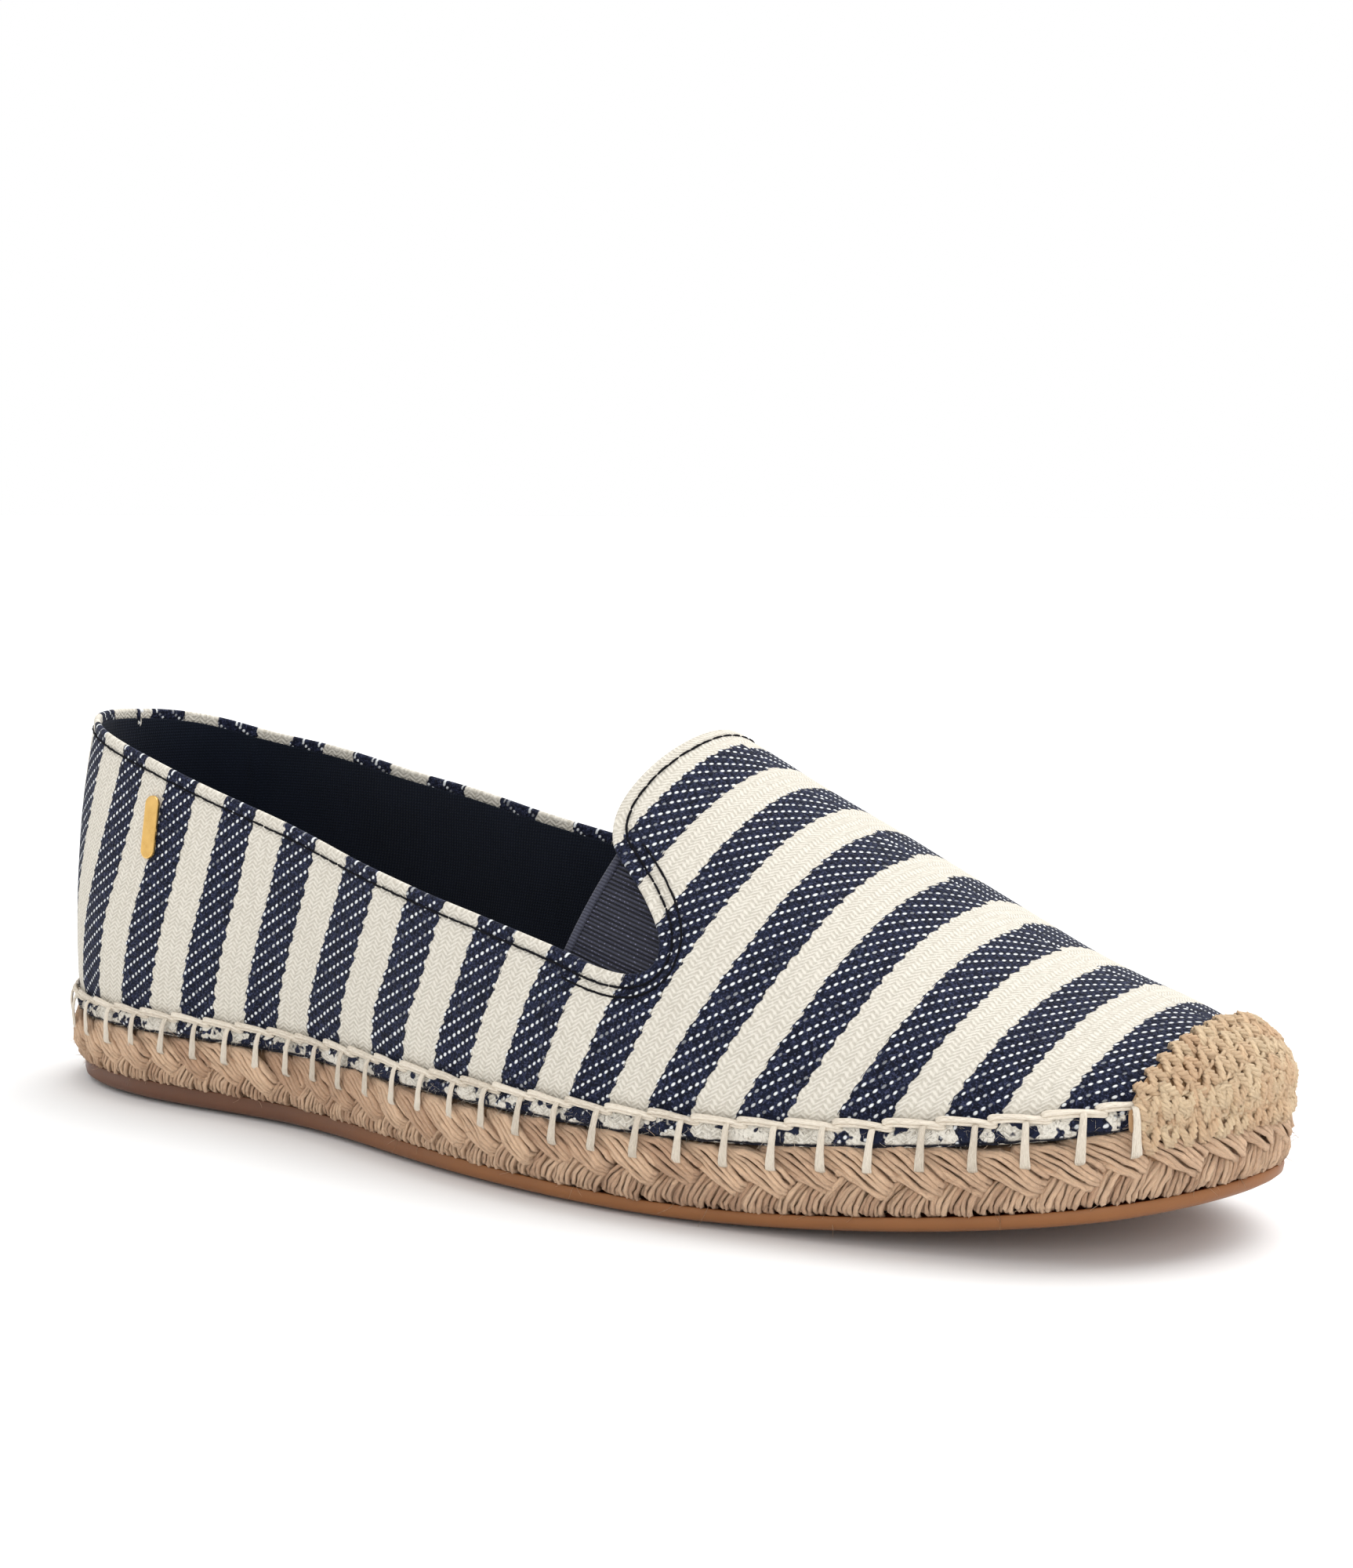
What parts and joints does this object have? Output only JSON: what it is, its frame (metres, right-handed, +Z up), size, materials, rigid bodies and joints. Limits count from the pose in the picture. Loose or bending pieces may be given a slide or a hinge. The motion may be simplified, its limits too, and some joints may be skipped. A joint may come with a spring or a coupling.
{
  "type": "espadrille",
  "caption": "Flat slip-on shoe with a striped twill upper, elastic gores, a crocheted toe cap and a braided jute sole on rubber, right foot",
  "frame": {"origin": "middle of the shoe's box, on the floor under the sole", "axes": "+X to the toe, +Y to the inner side of the foot, +Z up"},
  "size_m": [0.256, 0.0842, 0.0753],
  "materials": {
    "rubber": "tan gum rubber, satin, browner at the heel",
    "jute": "natural braided jute, matt and hairy",
    "lining": "dark navy woven lining, matt",
    "canvas": "ecru twill with navy stripes, matt",
    "elastic": "ribbed navy elastic with a plain edge",
    "crochet": "crocheted natural yarn, matt",
    "thread": "waxed ecru sewing thread",
    "brass": "polished plain metal"
  },
  "bodies": {
    "root": {"outsole": "rubber", "jute_midsole": "jute", "insole": "lining", "upper": "canvas", "gore_outer": "elastic", "gore_inner": "elastic", "toe_cap": "crochet", "heel_bar": "brass"}
  },
  "joints": []
}
